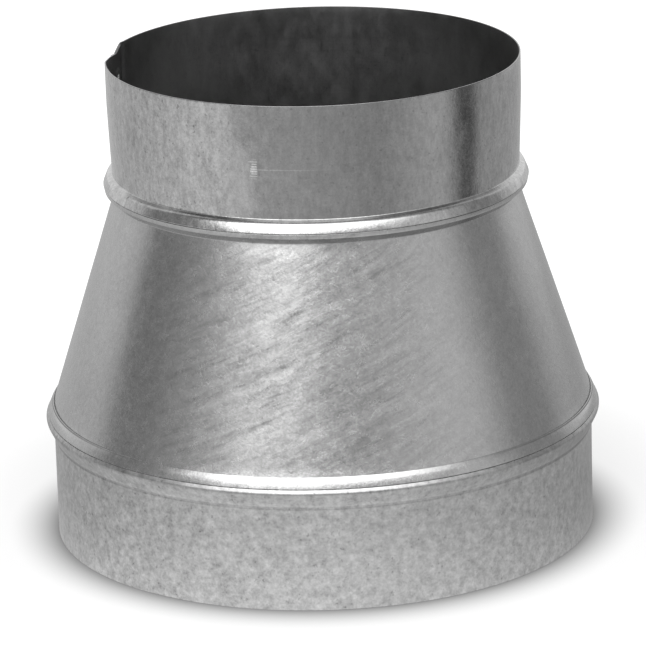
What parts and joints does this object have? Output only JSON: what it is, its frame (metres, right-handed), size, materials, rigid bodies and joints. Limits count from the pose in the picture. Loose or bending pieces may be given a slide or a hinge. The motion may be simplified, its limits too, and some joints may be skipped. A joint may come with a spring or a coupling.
{
  "type": "duct reducer",
  "caption": "Round sheet-metal duct reducer with a straight collar at each end, a conical body and locked ribs between them.",
  "frame": {"origin": "centre of the large end's bottom edge, which the part stands on", "axes": "+Z along the duct towards the small end; the lap seam is on the -X side, a little towards +Y"},
  "size_m": [0.2088, 0.2088, 0.1807],
  "materials": {
    "galvanised_sheet": "hot-dip galvanised sheet with fine spangle, semi-bright"
  },
  "bodies": {
    "root": {"small_collar": "galvanised_sheet", "taper_body": "galvanised_sheet", "large_collar": "galvanised_sheet"}
  },
  "joints": []
}
